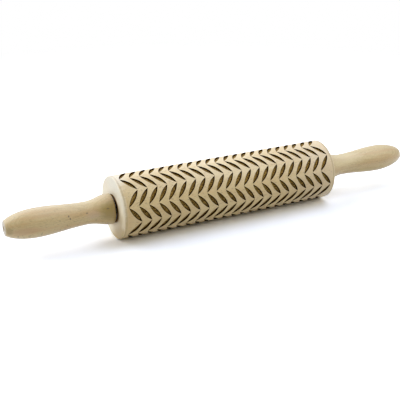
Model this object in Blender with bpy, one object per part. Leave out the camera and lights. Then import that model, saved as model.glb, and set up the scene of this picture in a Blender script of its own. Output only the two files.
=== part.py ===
"""Embossed beech rolling pin: a barrel engraved with rows of leaves, turning on a steel axle.

The barrel runs on a ball bearing in each end. The axle's ends are glued into the two handles.
Metres, +Z up. The pin lies along X, its middle at X = 0 and its barrel resting on Z = 0.
"""

import math

import bmesh
import bpy
from mathutils import Matrix

MM = 0.001

# Clearance between two pieces that seat on each other
FIT_GAP = 0.3 * MM

# Barrel
BARREL_RADIUS = 30.0 * MM
BARREL_LENGTH = 230.0 * MM
BARREL_EDGE_RADIUS = 1.2 * MM

# Engraved leaves: rows run round the barrel in pairs that lean opposite ways
LEAF_ROW_PAIRS = 6
LEAF_PITCH = 9.9 * MM  # along the barrel, from one leaf to the next
LEAF_REACH = 11.65 * MM  # along the barrel, from a leaf's first tip to its last
LEAF_ROW_GAP = 0.85 * MM  # round the barrel, between the tips of two rows
LEAF_WIDTH = 3.7 * MM
LEAF_DEPTH = 1.5 * MM
LEAF_WALL_RUN = 0.55 * MM  # how far the pocket's wall leans in at mid-leaf
LEAF_TIP_RUN = 1.7 * MM  # and at the tips
PLAIN_END = 5.0 * MM  # least plain width at each end of the barrel

# Handles, measured from the inner face outwards
HANDLE_GAP = 2.0 * MM
HANDLE_LENGTH = 100.5 * MM
HANDLE_INNER_RADIUS = 14.7 * MM
HANDLE_EDGE_RADIUS = 1.5 * MM
HANDLE_WAIST_SHARE = 0.24  # of the handle's length
HANDLE_WAIST_RADIUS = 10.8 * MM
HANDLE_SWELL_SHARE = 0.71
HANDLE_SWELL_RADIUS = 13.6 * MM
HANDLE_TIP_RADIUS = 6.6 * MM
HANDLE_TIP_EDGE = 0.6 * MM
CENTRE_HOLE_RADIUS = 2.0 * MM
CENTRE_HOLE_DEPTH = 5.0 * MM

# Axle
ROD_RADIUS = 4.0 * MM
ROD_ENGAGEMENT = 60.0 * MM  # length of rod inside each handle
ROD_CHAMFER = 0.6 * MM
GLUE_GROOVE_DEPTH = 0.4 * MM
GLUE_GROOVE_WIDTH = 1.5 * MM
GLUE_GROOVE_FROM_END = 8.0 * MM

# Ball bearings: these come to 8 mm bore, 22 mm outside and 7 mm wide
BALL_RADIUS = 1.985 * MM
BALL_COUNT = 7
RACE_DEPTH = 0.8 * MM
INNER_RING_WALL = 0.915 * MM  # under the race
OUTER_RING_WALL = 1.215 * MM  # over the race
CAGE_THICKNESS = 1.6 * MM
CAGE_WEB = 0.365 * MM  # beside each ball
SHIELD_THICKNESS = 0.35 * MM
SHIELD_INSET = 0.2 * MM
BEARING_RECESS = 1.0 * MM  # below the barrel's end face

# Facets round the turned pieces
HANDLE_SIDES = 28
BORE_SIDES = 24
RING_SIDES = 20
CAGE_SIDES = 21
POCKET_SIDES = 10

# What follows from the sizes above
LEAF_ROWS = 2 * LEAF_ROW_PAIRS
STRIP_COUNT = 4 * LEAF_ROWS  # a row is four flat strips wide
STRIP_ANGLE = 2 * math.pi / STRIP_COUNT
ROW_ANGLE = 4 * STRIP_ANGLE
FIRST_ROW_ANGLE = 1.5 * STRIP_ANGLE  # puts the middle of a strip on the table
AXIS_HEIGHT = BARREL_RADIUS * math.cos(STRIP_ANGLE / 2)
PATTERN_ROOM = BARREL_LENGTH - 2 * PLAIN_END - LEAF_REACH
LEAF_COLUMNS = int(PATTERN_ROOM / LEAF_PITCH) + 1

RACE_RADIUS = BALL_RADIUS + FIT_GAP
RING_BORE_RADIUS = ROD_RADIUS + FIT_GAP
BALL_CIRCLE_RADIUS = RING_BORE_RADIUS + INNER_RING_WALL + RACE_RADIUS
INNER_SHOULDER_RADIUS = BALL_CIRCLE_RADIUS - RACE_RADIUS + RACE_DEPTH
OUTER_SHOULDER_RADIUS = BALL_CIRCLE_RADIUS + RACE_RADIUS - RACE_DEPTH
BEARING_RADIUS = BALL_CIRCLE_RADIUS + RACE_RADIUS + OUTER_RING_WALL
CAGE_HALF_WIDTH = RACE_RADIUS + CAGE_WEB
SHIELD_BACK = CAGE_HALF_WIDTH + FIT_GAP
SHIELD_FRONT = SHIELD_BACK + SHIELD_THICKNESS
BEARING_HALF_WIDTH = SHIELD_FRONT + SHIELD_INSET
SHIELD_OUTER_RADIUS = OUTER_SHOULDER_RADIUS + SHIELD_THICKNESS
BEARING_X = BARREL_LENGTH / 2 - BEARING_RECESS - BEARING_HALF_WIDTH
SEAT_FLOOR_X = BEARING_X - BEARING_HALF_WIDTH - FIT_GAP
HANDLE_FACE_X = BARREL_LENGTH / 2 + HANDLE_GAP
HANDLE_WAIST_AT = HANDLE_LENGTH * HANDLE_WAIST_SHARE
HANDLE_SWELL_AT = HANDLE_LENGTH * HANDLE_SWELL_SHARE
ROD_HALF_LENGTH = HANDLE_FACE_X + ROD_ENGAGEMENT
SPACER_START_X = BEARING_X + BEARING_HALF_WIDTH + FIT_GAP
SPACER_END_X = HANDLE_FACE_X - FIT_GAP


def clear_scene():
    for obj in list(bpy.data.objects):
        bpy.data.objects.remove(obj, do_unlink=True)


def linear(red, green, blue):
    """A colour as seen on screen, 0 to 255, as the linear value a shader takes."""
    levels = []
    for value in (red, green, blue):
        share = value / 255
        levels.append(share / 12.92 if share <= 0.04045 else ((share + 0.055) / 1.055) ** 2.4)
    return (*levels, 1.0)


def make_material(name, colour, roughness, metallic=0.0):
    material = bpy.data.materials.new(name)
    material.use_nodes = True
    shader = material.node_tree.nodes["Principled BSDF"]
    shader.inputs["Base Color"].default_value = linear(*colour)
    shader.inputs["Roughness"].default_value = roughness
    shader.inputs["Metallic"].default_value = metallic
    material.diffuse_color = linear(*colour)
    return material


def make_axis(name, x=0.0):
    """An empty on the pin's axis, which the pieces that turn together hang from."""
    axis = bpy.data.objects.new(name, None)
    axis.location = (x, 0.0, AXIS_HEIGHT)
    axis.empty_display_size = 20 * MM
    bpy.context.scene.collection.objects.link(axis)
    return axis


def make_object(name, mesh, materials, parent, location=(0.0, 0.0, 0.0), mirrored=False):
    """A mirrored piece is turned half round, so that its outer end faces -X."""
    obj = bpy.data.objects.new(name, mesh)
    if not mesh.materials:
        for material in materials:
            mesh.materials.append(material)
    obj.parent = parent
    obj.location = location
    if mirrored:
        obj.rotation_euler = (0.0, 0.0, math.pi)
    bpy.context.scene.collection.objects.link(obj)
    return obj


def finish_mesh(shape, name, sharp_from=35):
    bmesh.ops.recalc_face_normals(shape, faces=shape.faces)
    mesh = bpy.data.meshes.new(name)
    shape.to_mesh(mesh)
    shape.free()
    mesh.shade_smooth()
    mesh.set_sharp_from_angle(angle=math.radians(sharp_from))
    for face in mesh.polygons:
        if abs(face.normal.x) > 0.999:
            face.use_smooth = False
    return mesh


def turned_mesh(name, profile, sides, ring=False):
    """Spins a profile of (along X, radius) points. A ring's profile closes on itself."""
    shape = bmesh.new()
    points = [shape.verts.new((x, 0.0, radius)) for x, radius in profile]
    edges = [shape.edges.new(pair) for pair in zip(points, points[1:])]
    if ring:
        edges.append(shape.edges.new((points[-1], points[0])))
    bmesh.ops.spin(
        shape,
        geom=points + edges,
        cent=(0, 0, 0),
        axis=(1, 0, 0),
        angle=2 * math.pi,
        steps=sides,
        use_merge=True,
    )
    bmesh.ops.remove_doubles(shape, verts=shape.verts, dist=0.001 * MM)
    return finish_mesh(shape, name)


def cut_away(obj, cutter):
    cutter.hide_render = True
    cutter.display_type = "WIRE"
    modifier = obj.modifiers.new("cut", "BOOLEAN")
    modifier.operation = "DIFFERENCE"
    modifier.solver = "EXACT"
    modifier.object = cutter


def arc(centre_x, centre_radius, radius, start, end, steps):
    """Points on a round edge, by angles in degrees from +X towards larger radius."""
    angles = [math.radians(start + (end - start) * step / steps) for step in range(steps + 1)]
    return [
        (centre_x + radius * math.cos(angle), centre_radius + radius * math.sin(angle))
        for angle in angles
    ]


def eased(start, end, steps):
    """An S-curve between two (along X, radius) points, level at both, without its first point."""
    points = []
    for step in range(1, steps + 1):
        share = step / steps
        ease = (1 - math.cos(math.pi * share)) / 2
        points.append((start[0] + (end[0] - start[0]) * share, start[1] + (end[1] - start[1]) * ease))
    return points


# Engraved barrel


def strip_radius(angle):
    """The barrel's radius at an angle: its strips are flat, with their edges on the full radius."""
    from_edge = (angle - FIRST_ROW_ANGLE) % STRIP_ANGLE
    return BARREL_RADIUS * math.cos(STRIP_ANGLE / 2) / math.cos(from_edge - STRIP_ANGLE / 2)


def on_barrel(x, angle, depth=0.0):
    """A point at an angle from the top towards -Y, some way below the barrel's surface."""
    radius = strip_radius(angle) - depth
    return (x, -radius * math.sin(angle), radius * math.cos(angle))


class Leaf:
    """One leaf laid out flat: two arcs between its tips, measured from the leaf's middle."""

    def __init__(self, inset=0.0, tip_inset=0.0):
        reach = LEAF_REACH / 2
        rise = (BARREL_RADIUS * ROW_ANGLE - LEAF_ROW_GAP) / 2
        full = math.hypot(reach, rise)
        share = (full - tip_inset) / full
        self.reach = reach * share
        self.rise = rise * share
        half_length = full * share
        half_width = LEAF_WIDTH / 2 - inset
        self.radius = (half_length**2 + half_width**2) / (2 * half_width)
        offset = self.radius - half_width
        self.centre_x = offset * rise / full
        self.centre_rise = offset * reach / full

    def edge(self, side, rise, lean):
        """Where the leaf's left (-1) or right (+1) edge crosses a height, for a leaf leaning +1 or -1."""
        side_of_pattern = side * lean
        height = rise - side_of_pattern * self.centre_rise
        x = -self.centre_x + math.sqrt(self.radius**2 - height**2)
        return side * x


def engraved_barrel_mesh():
    shape = bmesh.new()
    rim = Leaf()
    floor = Leaf(LEAF_WALL_RUN, LEAF_TIP_RUN)
    columns = [(i - (LEAF_COLUMNS - 1) / 2) * LEAF_PITCH for i in range(LEAF_COLUMNS)]
    straight_end = BARREL_LENGTH / 2 - BARREL_EDGE_RADIUS

    def vertex(x, angle, depth=0.0):
        return shape.verts.new(on_barrel(x, angle, depth))

    def ring(x, shrink):
        return [
            vertex(x, FIRST_ROW_ANGLE + line * STRIP_ANGLE, shrink) for line in range(STRIP_COUNT)
        ]

    end_rings = {side: ring(side * straight_end, 0.0) for side in (-1, 1)}
    row_starts = []
    for row in range(LEAF_ROWS):
        tip_side = -1 if row % 2 == 0 else 1
        angle = FIRST_ROW_ANGLE + row * ROW_ANGLE
        row_starts.append([vertex(x + tip_side * rim.reach, angle) for x in columns])

    def end_side(row, side):
        """The barrel's end as one side of a row, cut into its strips."""
        lines = [end_rings[side][(4 * row + step) % STRIP_COUNT] for step in range(5)]
        return [list(pair) for pair in zip(lines, lines[1:])]

    def add_leaf(row, column):
        """Makes one pocket, and returns its left and right sides as the row's strips meet them."""
        lean = 1 if row % 2 == 0 else -1
        x = columns[column]
        middle = FIRST_ROW_ANGLE + (row + 0.5) * ROW_ANGLE
        quarters = [-STRIP_ANGLE, 0.0, STRIP_ANGLE]

        def tip(leaf, end, depth):
            return vertex(x + end * lean * leaf.reach, middle + end * leaf.rise / BARREL_RADIUS, depth)

        first_tip, last_tip = (tip(rim, end, 0.0) for end in (-1, 1))
        first_deep, last_deep = (tip(floor, end, LEAF_DEPTH) for end in (-1, 1))
        sides = {}
        deep = {}
        for side in (-1, 1):
            sides[side] = [
                vertex(x + rim.edge(side, BARREL_RADIUS * step, lean), middle + step)
                for step in quarters
            ]
            deep[side] = vertex(x + floor.edge(side, 0.0, lean), middle, LEAF_DEPTH)
        for side in (-1, 1):
            near, mid, far = sides[side]
            walls = (
                (first_tip, near, first_deep),
                (near, deep[side], first_deep),
                (near, mid, deep[side]),
                (mid, far, deep[side]),
                (far, last_deep, deep[side]),
                (far, last_tip, last_deep),
            )
            for wall in walls:
                shape.faces.new(wall).material_index = 1
        for end in (first_deep, last_deep):
            shape.faces.new((end, deep[-1], deep[1])).material_index = 1
        start = row_starts[row][column]
        finish = row_starts[(row + 1) % LEAF_ROWS][column]
        return {
            side: [
                [start, first_tip, near],
                [near, mid],
                [mid, far],
                [far, last_tip, finish],
            ]
            for side, (near, mid, far) in sides.items()
        }

    for row in range(LEAF_ROWS):
        left = end_side(row, -1)
        for column in range(LEAF_COLUMNS):
            leaf_sides = add_leaf(row, column)
            for strip_left, strip_right in zip(left, leaf_sides[-1]):
                shape.faces.new(strip_left + strip_right[::-1])
            left = leaf_sides[1]
        for strip_left, strip_right in zip(left, end_side(row, 1)):
            shape.faces.new(strip_left + strip_right[::-1])

    for side, outer in end_rings.items():
        for step in (45, 90):
            bend = math.radians(step)
            x = side * (straight_end + BARREL_EDGE_RADIUS * math.sin(bend))
            inner = ring(x, BARREL_EDGE_RADIUS * (1 - math.cos(bend)))
            for line in range(STRIP_COUNT):
                beside = (line + 1) % STRIP_COUNT
                shape.faces.new((outer[line], outer[beside], inner[beside], inner[line]))
            outer = inner
        shape.faces.new(outer)
    return finish_mesh(shape, "barrel", sharp_from=20)


def make_barrel(axis, beech, burnt):
    barrel = make_object("barrel", engraved_barrel_mesh(), [beech, burnt], axis)
    past_end = BARREL_LENGTH / 2 + BARREL_EDGE_RADIUS
    seat_radius = BEARING_RADIUS + FIT_GAP
    bore_profile = [
        (-past_end, 0.0),
        (-past_end, seat_radius),
        (-SEAT_FLOOR_X, seat_radius),
        (-SEAT_FLOOR_X, OUTER_SHOULDER_RADIUS),
        (SEAT_FLOOR_X, OUTER_SHOULDER_RADIUS),
        (SEAT_FLOOR_X, seat_radius),
        (past_end, seat_radius),
        (past_end, 0.0),
    ]
    cutter = make_object("bore_cutter", turned_mesh("bore_cutter", bore_profile, BORE_SIDES), [beech], axis)
    cut_away(barrel, cutter)


# Handles


def handle_mesh():
    """From the rod's blind bore round the inner end, along the grip and into the tip's centre hole."""
    edge = HANDLE_EDGE_RADIUS
    swell = HANDLE_SWELL_RADIUS
    inner_edge = arc(edge, HANDLE_INNER_RADIUS - edge, edge, 180, 90, 3)
    waist = (HANDLE_WAIST_AT, HANDLE_WAIST_RADIUS)
    neck = eased(inner_edge[-1], waist, 5)
    grip = eased(waist, (HANDLE_SWELL_AT, swell), 6)
    nose_end = HANDLE_LENGTH - HANDLE_TIP_EDGE
    nose_radius = HANDLE_TIP_RADIUS + HANDLE_TIP_EDGE
    nose_angle = math.acos(nose_radius / swell)
    nose_length = (nose_end - HANDLE_SWELL_AT) / math.sin(nose_angle)
    nose = []
    for step in range(1, 7):
        angle = nose_angle * step / 6
        nose.append((HANDLE_SWELL_AT + nose_length * math.sin(angle), swell * math.cos(angle)))
    bore_end = ROD_ENGAGEMENT + FIT_GAP
    profile = [(bore_end, 0.0), (bore_end, RING_BORE_RADIUS), (0.0, RING_BORE_RADIUS)]
    profile += inner_edge + neck + grip + nose
    profile.append((HANDLE_LENGTH, HANDLE_TIP_RADIUS))
    profile.append((HANDLE_LENGTH, CENTRE_HOLE_RADIUS))
    profile.append((HANDLE_LENGTH - CENTRE_HOLE_DEPTH + CENTRE_HOLE_RADIUS, CENTRE_HOLE_RADIUS))
    profile.append((HANDLE_LENGTH - CENTRE_HOLE_DEPTH, 0.0))
    return turned_mesh("handle", profile, HANDLE_SIDES)


def make_handles(axis, beech):
    mesh = handle_mesh()
    make_object("handle_left", mesh, [beech], axis, (-HANDLE_FACE_X, 0, 0), mirrored=True)
    make_object("handle_right", mesh, [beech], axis, (HANDLE_FACE_X, 0, 0))


# Axle and spacers


def make_axle_rod(axis, steel):
    groove_start = ROD_HALF_LENGTH - GLUE_GROOVE_FROM_END
    groove_end = groove_start + GLUE_GROOVE_WIDTH
    groove_floor = ROD_RADIUS - GLUE_GROOVE_DEPTH
    right_end = [
        (groove_start, ROD_RADIUS),
        (groove_start, groove_floor),
        (groove_end, groove_floor),
        (groove_end, ROD_RADIUS),
        (ROD_HALF_LENGTH - ROD_CHAMFER, ROD_RADIUS),
        (ROD_HALF_LENGTH, ROD_RADIUS - ROD_CHAMFER),
        (ROD_HALF_LENGTH, 0.0),
    ]
    left_end = [(-x, radius) for x, radius in reversed(right_end)]
    make_object("axle_rod", turned_mesh("axle_rod", left_end + right_end, RING_SIDES), [steel], axis)


def make_spacers(axis, steel):
    profile = [
        (SPACER_START_X, RING_BORE_RADIUS),
        (SPACER_START_X, INNER_SHOULDER_RADIUS),
        (SPACER_END_X, INNER_SHOULDER_RADIUS),
        (SPACER_END_X, RING_BORE_RADIUS),
    ]
    mesh = turned_mesh("spacer", profile, RING_SIDES, ring=True)
    make_object("spacer_left", mesh, [steel], axis, mirrored=True)
    make_object("spacer_right", mesh, [steel], axis)


# Ball bearings, with the shielded side outwards


def race(shoulder, outwards, steps=4):
    """The groove that the balls run in, from its -X shoulder to its +X one."""
    half_angle = math.acos((RACE_RADIUS - RACE_DEPTH) / RACE_RADIUS)
    points = []
    for step in range(steps + 1):
        angle = half_angle * (2 * step / steps - 1)
        depth = RACE_RADIUS * math.cos(angle) - (RACE_RADIUS - RACE_DEPTH)
        points.append((RACE_RADIUS * math.sin(angle), shoulder + outwards * depth))
    return points


def inner_ring_mesh():
    half = BEARING_HALF_WIDTH
    profile = [(half, RING_BORE_RADIUS), (-half, RING_BORE_RADIUS), (-half, INNER_SHOULDER_RADIUS)]
    profile += race(INNER_SHOULDER_RADIUS, -1)
    profile.append((half, INNER_SHOULDER_RADIUS))
    return turned_mesh("inner_ring", profile, RING_SIDES, ring=True)


def outer_ring_mesh():
    """Its outer side has a step that the dust shield sits in."""
    half = BEARING_HALF_WIDTH
    step_radius = SHIELD_OUTER_RADIUS + FIT_GAP
    step_x = SHIELD_BACK - FIT_GAP
    profile = [(half, BEARING_RADIUS), (-half, BEARING_RADIUS), (-half, OUTER_SHOULDER_RADIUS)]
    profile += race(OUTER_SHOULDER_RADIUS, 1)
    profile += [(step_x, OUTER_SHOULDER_RADIUS), (step_x, step_radius), (half, step_radius)]
    return turned_mesh("outer_ring", profile, RING_SIDES, ring=True)


def shield_mesh():
    inner = INNER_SHOULDER_RADIUS + FIT_GAP
    profile = [
        (SHIELD_BACK, inner),
        (SHIELD_BACK, SHIELD_OUTER_RADIUS),
        (SHIELD_FRONT, SHIELD_OUTER_RADIUS),
        (SHIELD_FRONT, inner),
    ]
    return turned_mesh("shield", profile, RING_SIDES, ring=True)


def cage_mesh():
    inner = BALL_CIRCLE_RADIUS - CAGE_THICKNESS / 2
    outer = BALL_CIRCLE_RADIUS + CAGE_THICKNESS / 2
    half = CAGE_HALF_WIDTH
    profile = [(-half, inner), (-half, outer), (half, outer), (half, inner)]
    return turned_mesh("cage", profile, CAGE_SIDES, ring=True)


def ball_places():
    """The angle of each ball round the axis."""
    return [2 * math.pi * number / BALL_COUNT for number in range(BALL_COUNT)]


def pocket_cutter_mesh():
    """One drill hole for each ball, straight through the cage's rim."""
    shape = bmesh.new()
    for angle in ball_places():
        to_place = Matrix.Rotation(angle, 4, "X") @ Matrix.Translation((0, 0, BALL_CIRCLE_RADIUS))
        bmesh.ops.create_cone(
            shape,
            cap_ends=True,
            segments=POCKET_SIDES,
            radius1=RACE_RADIUS,
            radius2=RACE_RADIUS,
            depth=2 * CAGE_THICKNESS,
            matrix=to_place,
        )
    return finish_mesh(shape, "pocket_cutter")


def ball_mesh():
    shape = bmesh.new()
    bmesh.ops.create_icosphere(shape, subdivisions=2, radius=BALL_RADIUS)
    return finish_mesh(shape, "ball", sharp_from=180)


def make_bearings(barrel_axis, axle_axis, steel, cage_steel):
    inner, outer, shield, cage, ball = (
        inner_ring_mesh(),
        outer_ring_mesh(),
        shield_mesh(),
        cage_mesh(),
        ball_mesh(),
    )
    for side, x in (("left", -BEARING_X), ("right", BEARING_X)):
        mirrored = side == "left"
        name = f"bearing_{side}"
        place = (x, 0, 0)
        make_object(f"{name}_outer_ring", outer, [steel], barrel_axis, place, mirrored)
        make_object(f"{name}_shield", shield, [cage_steel], barrel_axis, place, mirrored)
        make_object(f"{name}_inner_ring", inner, [steel], axle_axis, place, mirrored)
        cage_axis = make_axis(f"{name}_axis", x)
        cage_piece = make_object(f"{name}_cage", cage, [cage_steel], cage_axis)
        cutter_mesh = pocket_cutter_mesh()
        cut_away(cage_piece, make_object(f"{name}_pocket_cutter", cutter_mesh, [cage_steel], cage_axis))
        for number, angle in enumerate(ball_places(), start=1):
            centre = (0, -BALL_CIRCLE_RADIUS * math.sin(angle), BALL_CIRCLE_RADIUS * math.cos(angle))
            make_object(f"{name}_ball_{number}", ball, [steel], cage_axis, centre)


def main():
    clear_scene()
    beech = make_material("beech_barrel", (214, 192, 156), 0.62)
    burnt = make_material("burnt_leaf", (84, 62, 34), 0.85)
    handle_beech = make_material("beech_handle", (200, 182, 146), 0.5)
    steel = make_material("polished_steel", (190, 192, 196), 0.25, metallic=1.0)
    cage_steel = make_material("pressed_steel", (150, 152, 156), 0.4, metallic=1.0)
    barrel_axis = make_axis("barrel_axis")
    axle_axis = make_axis("axle_axis")
    make_barrel(barrel_axis, beech, burnt)
    make_axle_rod(axle_axis, steel)
    make_spacers(axle_axis, steel)
    make_handles(axle_axis, handle_beech)
    make_bearings(barrel_axis, axle_axis, steel, cage_steel)


main()
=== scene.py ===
import math

import bmesh
import bpy
from mathutils import Matrix, Vector


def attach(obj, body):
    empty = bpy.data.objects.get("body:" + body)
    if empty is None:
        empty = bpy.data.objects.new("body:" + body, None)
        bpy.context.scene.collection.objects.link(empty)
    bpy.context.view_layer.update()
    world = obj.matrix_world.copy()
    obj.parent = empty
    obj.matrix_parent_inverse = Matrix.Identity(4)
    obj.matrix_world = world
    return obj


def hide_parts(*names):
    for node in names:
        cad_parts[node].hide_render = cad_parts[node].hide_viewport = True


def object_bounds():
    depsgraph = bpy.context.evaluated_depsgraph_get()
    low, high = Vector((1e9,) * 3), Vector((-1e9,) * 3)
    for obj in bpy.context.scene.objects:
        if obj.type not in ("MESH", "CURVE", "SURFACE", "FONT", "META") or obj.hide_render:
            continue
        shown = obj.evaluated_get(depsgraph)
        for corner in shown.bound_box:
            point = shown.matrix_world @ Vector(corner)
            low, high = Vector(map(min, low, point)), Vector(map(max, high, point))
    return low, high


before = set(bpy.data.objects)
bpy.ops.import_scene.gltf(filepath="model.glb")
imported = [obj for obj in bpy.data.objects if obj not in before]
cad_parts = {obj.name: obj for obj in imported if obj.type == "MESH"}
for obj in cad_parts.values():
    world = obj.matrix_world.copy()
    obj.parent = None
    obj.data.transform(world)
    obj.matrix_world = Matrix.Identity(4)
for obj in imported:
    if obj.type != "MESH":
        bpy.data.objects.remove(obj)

mm = 0.001
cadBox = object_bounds()
axisHeight = (cadBox[0][2] + cadBox[1][2]) / 2  # the barrel rests on the table, so its axle lies half way up
pinEnds = {"left": -1, "right": 1}  # which way each end of the pin points


# Small helpers

def linearColour(red, green, blue):
    # levels of 0 to 255, as they look on a screen
    levels = []
    for value in (red, green, blue):
        share = value / 255
        levels.append(share / 12.92 if share <= 0.04045 else ((share + 0.055) / 1.055) ** 2.4)
    return (*levels, 1.0)


def addPiece(name, shape, body, node, materials, sharpFrom=35):
    # sharpFrom: edges that turn by more degrees than this are shaded as sharp
    bmesh.ops.recalc_face_normals(shape, faces=shape.faces)
    mesh = bpy.data.meshes.new(name)
    shape.to_mesh(mesh)
    shape.free()
    mesh.shade_smooth()
    mesh.set_sharp_from_angle(angle=math.radians(sharpFrom))
    for material in materials:
        mesh.materials.append(material)
    piece = bpy.data.objects.new(name, mesh)
    bpy.context.scene.collection.objects.link(piece)
    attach(piece, body)
    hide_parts(node)


def pinPoint(x, radius, angle):  # angle from the top of the pin towards the camera's side
    return (x, -radius * math.sin(angle), axisHeight + radius * math.cos(angle))


def turnProfile(shape, profile, sides, closed=False, outwards=1):
    # profile: (distance along the pin, radius) points; outwards -1 mirrors them to the left end
    rings = []
    for x, radius in profile:
        if radius == 0:  # one point where the profile meets the axle's middle line
            rings.append([shape.verts.new(pinPoint(x * outwards, 0.0, 0.0))])
        else:
            rings.append([
                shape.verts.new(pinPoint(x * outwards, radius, 2 * math.pi * side / sides))
                for side in range(sides)
            ])
    pairs = list(zip(rings, rings[1:]))
    if closed:
        pairs.append((rings[-1], rings[0]))
    for near, far in pairs:
        for side in range(sides):
            beside = (side + 1) % sides
            corners = [near[side % len(near)], near[beside % len(near)]]
            corners += [far[beside % len(far)], far[side % len(far)]]
            shape.faces.new(list(dict.fromkeys(corners)))


def turnBothEnds(name, profile, sides, body, node, material, closed=True, sharpFrom=35):
    # the same turned piece at both ends of the pin, each the mirror of the other
    for end, outwards in pinEnds.items():
        shape = bmesh.new()
        turnProfile(shape, profile, sides, closed, outwards)
        addPiece(f"{name}_{end}", shape, body, node.format(end), [material], sharpFrom)


def roundedCorner(x, radius, bend, start, end, steps):
    # part of a circle round (x, radius), angles in degrees from +X towards the larger radius
    points = []
    for step in range(steps + 1):
        angle = math.radians(start + (end - start) * step / steps)
        points.append((x + bend * math.cos(angle), radius + bend * math.sin(angle)))
    return points


# Camera, set to the photograph's angle

cameraSpec = {  # angles in degrees, distances in metres, the lens and its sensor in millimetres
    "azimuth": -26.72,
    "elevation": 22.98,
    "distance": 0.7992,
    "target": (-0.02424, 0.0, 0.02047),
    "lens": 73.19,
    "sensor": 36,
    "nearest": 0.01,
}


def setCamera(spec):
    turn, rise = math.radians(spec["azimuth"]), math.radians(spec["elevation"])
    back = Vector((math.sin(turn) * math.cos(rise), -math.cos(turn) * math.cos(rise), math.sin(rise)))
    lensData = bpy.data.cameras.new("camera")
    lensData.lens = spec["lens"]
    lensData.sensor_width = spec["sensor"]
    lensData.clip_start = spec["nearest"]
    camera = bpy.data.objects.new("camera", lensData)
    camera.location = Vector(spec["target"]) + back * spec["distance"]
    camera.rotation_euler = (-back).to_track_quat("-Z", "Y").to_euler()
    bpy.context.scene.collection.objects.link(camera)
    bpy.context.scene.camera = camera


setCamera(cameraSpec)
print("camera set")


# Light, floor and background

studioSpec = {
    "lamps": {  # name: (where it hangs, size, watts, colour), each aimed at the middle of the table
        "keyLamp": ((-1.05, 0.9, 1.2), 1.5, 25.0, (0.97, 1.0, 1.07)),
        "backLamp": ((0.3, 1.25, 1.05), 1.2, 8.2, (0.93, 1.0, 1.2)),
        "overLamp": ((0.65, -0.1, 1.45), 1.1, 10.4, (0.93, 1.0, 1.2)),
        "frontLamp": ((1.1, -1.0, 1.05), 0.9, 8.0, (1.04, 1.0, 0.88)),
        "sideLamp": ((-1.5, -0.4, 0.95), 1.3, 3.4, (1.0, 1.0, 1.0)),
    },
    "ambient": 0.02,  # what the world adds to the lamps
    "floorHalf": 6.0,
    "floorColour": (0.8, 0.79, 0.735, 1.0),  # the light that the paper throws back on to the pin
    "floorSeen": (0.91, 0.94, 0.98, 1.0),  # to the eye it is as pale as these two together
    "floorGain": (0.467, 0.472, 0.472, 1.0),
    "whiteFrom": (0.35, 0.8),  # between these distances it runs out into the white behind it
}


def addLamp(name, place, size, watts, tint):
    lampData = bpy.data.lights.new(name, "AREA")
    lampData.size = size
    lampData.energy = watts
    lampData.color = tint
    lamp = bpy.data.objects.new(name, lampData)
    lamp.location = place
    lamp.rotation_euler = (-Vector(place)).to_track_quat("-Z", "Y").to_euler()
    bpy.context.scene.collection.objects.link(lamp)


def seenAs(nodes, links, lighting, shown):
    # shown meets rays from the camera, from gloss and through glass, and lighting those that light the pin
    path = nodes.new("ShaderNodeLightPath")
    seen = path.outputs["Is Camera Ray"]
    for ray in ("Is Glossy Ray", "Is Transmission Ray"):
        either = nodes.new("ShaderNodeMath")
        either.operation = "MAXIMUM"
        links.new(seen, either.inputs[0])
        links.new(path.outputs[ray], either.inputs[1])
        seen = either.outputs[0]
    chooser = nodes.new("ShaderNodeMixShader")
    links.new(seen, chooser.inputs["Fac"])
    links.new(lighting, chooser.inputs[1])
    links.new(shown, chooser.inputs[2])
    return chooser.outputs[0]


def makeWorld(spec):
    world = bpy.data.worlds.new("studio")
    world.use_nodes = True
    nodes, links = world.node_tree.nodes, world.node_tree.links
    nodes.clear()

    def white(strength):
        light = nodes.new("ShaderNodeBackground")
        light.inputs["Color"].default_value = (1, 1, 1, 1)
        light.inputs["Strength"].default_value = strength
        return light.outputs[0]

    output = nodes.new("ShaderNodeOutputWorld")
    links.new(seenAs(nodes, links, white(spec["ambient"]), white(1.0)), output.inputs["Surface"])
    bpy.context.scene.world = world


def makeFloor(spec):
    paper = bpy.data.materials.new("whitePaper")
    paper.use_nodes = True
    nodes, links = paper.node_tree.nodes, paper.node_tree.links
    nodes.clear()

    def matt(colour):
        shader = nodes.new("ShaderNodeBsdfDiffuse")
        shader.inputs["Color"].default_value = colour
        return shader.outputs[0]

    seen = nodes.new("ShaderNodeAddShader")
    links.new(matt(spec["floorSeen"]), seen.inputs[0])
    links.new(matt(spec["floorGain"]), seen.inputs[1])
    away = nodes.new("ShaderNodeVectorMath")
    away.operation = "LENGTH"
    links.new(nodes.new("ShaderNodeNewGeometry").outputs["Position"], away.inputs[0])
    fade = nodes.new("ShaderNodeMapRange")
    fade.interpolation_type = "SMOOTHSTEP"
    fade.inputs["From Min"].default_value, fade.inputs["From Max"].default_value = spec["whiteFrom"]
    links.new(away.outputs["Value"], fade.inputs["Value"])
    sweep = nodes.new("ShaderNodeMixShader")
    links.new(fade.outputs["Result"], sweep.inputs["Fac"])
    links.new(seen.outputs[0], sweep.inputs[1])
    links.new(nodes.new("ShaderNodeEmission").outputs[0], sweep.inputs[2])
    output = nodes.new("ShaderNodeOutputMaterial")
    paperSurface = seenAs(nodes, links, matt(spec["floorColour"]), sweep.outputs[0])
    links.new(paperSurface, output.inputs["Surface"])
    mesh = bpy.data.meshes.new("floor")
    half = spec["floorHalf"]
    corners = [(-half, -half, 0), (half, -half, 0), (half, half, 0), (-half, half, 0)]
    mesh.from_pydata(corners, [], [(0, 1, 2, 3)])
    mesh.materials.append(paper)
    floor = bpy.data.objects.new("floor", mesh)
    bpy.context.scene.collection.objects.link(floor)


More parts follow.
